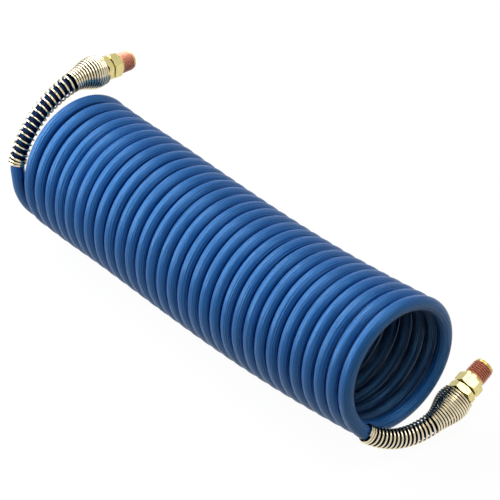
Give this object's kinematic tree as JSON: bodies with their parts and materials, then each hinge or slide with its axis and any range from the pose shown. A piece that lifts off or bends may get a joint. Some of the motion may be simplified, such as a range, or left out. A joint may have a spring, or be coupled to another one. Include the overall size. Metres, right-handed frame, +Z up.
{
  "type": "coiled air hose",
  "caption": "Self-retracting coiled nylon air hose with barrel-shaped spring guards and brass swivel fittings with male taper pipe threads.",
  "frame": {"origin": "under the middle of the whole hose, on the surface that it lies on", "axes": "+X along the coil from end A to end B, +Y towards the side that both fittings point to, +Z up"},
  "size_m": [0.3646, 0.1182, 0.118],
  "materials": {
    "nylon_hose": "glossy blue extruded nylon",
    "spring_wire": "bright yellow-zinc plated spring wire",
    "brass": "bright turned brass",
    "sealed_brass": "bright turned brass, with a coral-red sealant coat on most of the thread",
    "ferrule_steel": "plain bright steel",
    "nitrile": "black nitrile rubber",
    "washer_plastic": "dark acetal"
  },
  "bodies": {
    "coil": {"hose_coil": "nylon_hose", "hose_tail_a": "nylon_hose", "spring_guard_a": "spring_wire", "hose_nut_a": "brass", "crimp_ferrule_a": "ferrule_steel", "barbed_insert_a": "brass", "o_ring_a": "nitrile", "retaining_ring_a": "ferrule_steel", "thrust_washer_a": "washer_plastic"},
    "stem_a": {"swivel_stem_a": "sealed_brass"},
    "end_b": {"hose_tail_b": "nylon_hose", "spring_guard_b": "spring_wire", "hose_nut_b": "brass", "crimp_ferrule_b": "ferrule_steel", "barbed_insert_b": "brass", "o_ring_b": "nitrile", "retaining_ring_b": "ferrule_steel", "thrust_washer_b": "washer_plastic"},
    "stem_b": {"swivel_stem_b": "sealed_brass"}
  },
  "joints": [
    {"name": "coil_stretch", "type": "slide", "parent": "coil", "child": "end_b", "axis": [1, 0, 0], "range_m": [0, 1.5], "stiffness_N_per_m": 10, "deforming": ["hose_coil"]},
    {"name": "swivel_a", "type": "hinge", "parent": "coil", "child": "stem_a", "pos_m": [-0.17126, 0.02397, 0.10561], "axis": [-0.045, 0.9942, -0.098], "continuous": true},
    {"name": "swivel_b", "type": "hinge", "parent": "end_b", "child": "stem_b", "pos_m": [0.17029, 0.03317, 0.02181], "axis": [-0.072, 0.9101, 0.4081], "continuous": true}
  ]
}
